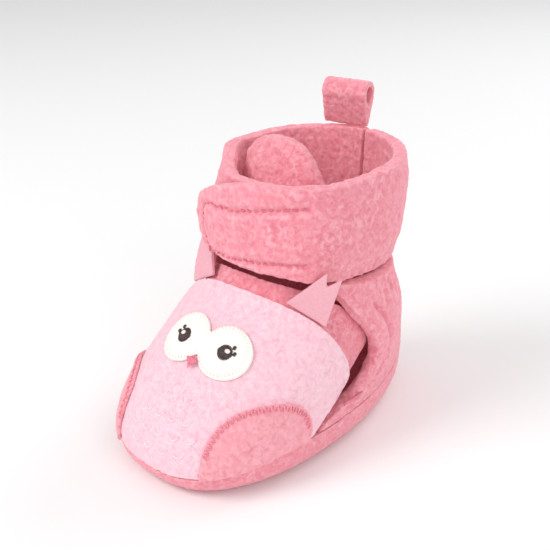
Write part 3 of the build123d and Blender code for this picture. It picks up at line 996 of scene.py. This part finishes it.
def topstitches(over, path):
    """Single stitches with small gaps; each dips into the fleece at both ends."""
    tree = surface(over)
    points = resample(path, STITCH_LENGTH * MM)
    runs = []
    for a, b in zip(points, points[1:]):
        line = []
        for t, lift in STITCH_SHAPE:
            p = a.lerp(b, 0.08 + 0.74 * t)
            place, normal = on_surface(tree, p, lift * MM)
            line.append(place)
        runs.append((line, normal))
    threads(
        "flap_topstitches", runs, 0.24, PINK_THREAD,
        body="over_flap", node="flap_topstitch",
    )


def tongue():
    nodes = ["tongue_outer", "tongue_lining"]
    low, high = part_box("tongue_outer")
    centre = (low + high) / 2
    inset = EDGE_ROLL * ROLL_INSET
    arch = outline_path(nodes, centre, Vector((1, 0, 0)), -10, 181, inset)
    piece = fabric(
        "tongue_fleece", nodes, PINK, "pink_fleece",
        voxel=0.65, rounding=8, rolls=[(arch, EDGE_ROLL)],
    )
    puff(piece)
    nap(piece, 0.2, seed=61)
    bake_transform(piece)


def pull_tab():
    piece = fabric(
        "pull_tab_loop", ["pull_tab"], PINK, "pink_fleece", voxel=0.5, swell=0.2, rounding=8
    )
    nap(piece, 0.16, seed=71)
    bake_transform(piece)


EAR_LEAN = (6.0, 3.0, 0)   # most that the lateral ear's tip leans in over the cuff
EAR_CLEARANCE = 0.5


def lean_in(ear, over):
    """The ear's tip leans in towards the over flap, as far as the flap's surface allows."""
    cuff_tree = surface(over)
    co = coords(ear)
    foot = co[:, 2].min()
    rise = (co[:, 2] - foot) / (co[:, 2].max() - foot)
    for share in np.arange(1.0, 0, -0.1):
        moved = co + np.outer(rise**1.5 * share, np.array(EAR_LEAN)) * MM
        gaps = []
        for p in moved[::7]:
            place, normal, _, _ = cuff_tree.find_nearest(Vector(p))
            gaps.append((Vector(p) - place).dot(normal))
        if min(gaps) > EAR_CLEARANCE * MM:
            set_coords(ear, moved)
            return


def ears(over):
    for side in SIDES:
        piece = fabric(
            f"{side}_ear_felt", [f"{side}_ear"], EAR_FELT, "ear_felt",
            voxel=0.28, swell=0.12, rounding=2,
        )
        if side == "lateral":
            lean_in(piece, over)
        nap(piece, 0.03, size=0.9, seed=81)
        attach(piece, f"{side}_ear")


def carried_nodes():
    """CAD nodes whose own shape stays, with their materials."""
    dress(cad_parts["sole_grip_dots"], GRIP)
    dress(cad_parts["sole_padding"], BATTING)
    dress(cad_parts["ankle_elastic"], WHITE_THREAD)


# ---------------------------------------------------------------- stage
LIGHT_TARGET = Vector((0, -0.005, 0.05))   # metres, as are all lengths of the stage


def stage():
    """Pale floor, white surroundings and three soft lights."""
    corners = [(-3, -3, 0), (3, -3, 0), (3, 3, 0), (-3, 3, 0)]
    floor = new_object("floor", corners, [(0, 1, 2, 3)])
    material = bpy.data.materials.new("floor_mat")
    material.use_nodes = True
    shader = material.node_tree.nodes["Principled BSDF"]
    shader.inputs["Base Color"].default_value = (0.93, 0.93, 0.93, 1)
    shader.inputs["Roughness"].default_value = 0.9
    shader.inputs["Specular IOR Level"].default_value = 0.1
    floor.data.materials.append(material)
    world = bpy.data.worlds.new("studio")
    world.use_nodes = True
    background = world.node_tree.nodes["Background"]
    background.inputs["Color"].default_value = (1, 1, 1, 1)
    background.inputs["Strength"].default_value = 0.6
    SCENE.world = world
    SCENE.view_settings.view_transform = "Standard"
    soft_light("key", (-0.35, -0.75, 0.75), size=0.6, power=5.4)
    soft_light("fill", (0.8, -0.35, 0.5), size=0.8, power=2.6)
    soft_light("back", (0.1, 0.8, 0.7), size=0.6, power=2.8)


def soft_light(name, place, size, power):
    light = bpy.data.lights.new(name, "AREA")
    light.shape = "DISK"
    light.size = size
    light.energy = power
    obj = bpy.data.objects.new(name, light)
    SCENE.collection.objects.link(obj)
    obj.location = place
    obj.rotation_euler = (LIGHT_TARGET - Vector(place)).to_track_quat("-Z", "Y").to_euler()


CAMERA_PLACE = Vector((0.207, -0.217, 0.188))
CAMERA_LENS = 63.5


def camera():
    data = bpy.data.cameras.new("camera")
    data.lens = CAMERA_LENS
    data.sensor_width = 36
    data.clip_start = 0.01
    obj = bpy.data.objects.new("camera", data)
    SCENE.collection.objects.link(obj)
    obj.location = CAMERA_PLACE
    target = (cad_low + cad_high) / 2 + Vector((0, 0, -2 * MM))
    obj.rotation_euler = (target - CAMERA_PLACE).to_track_quat("-Z", "Y").to_euler()
    SCENE.camera = obj


# ---------------------------------------------------------------- build
sole()
vamp_piece = toe()
wings()
face(vamp_piece)
belly(vamp_piece)
quarters()
over_flap_piece = cuff()
tongue()
pull_tab()
ears(over_flap_piece)
carried_nodes()
stage()
camera()

bpy.context.view_layer.update()
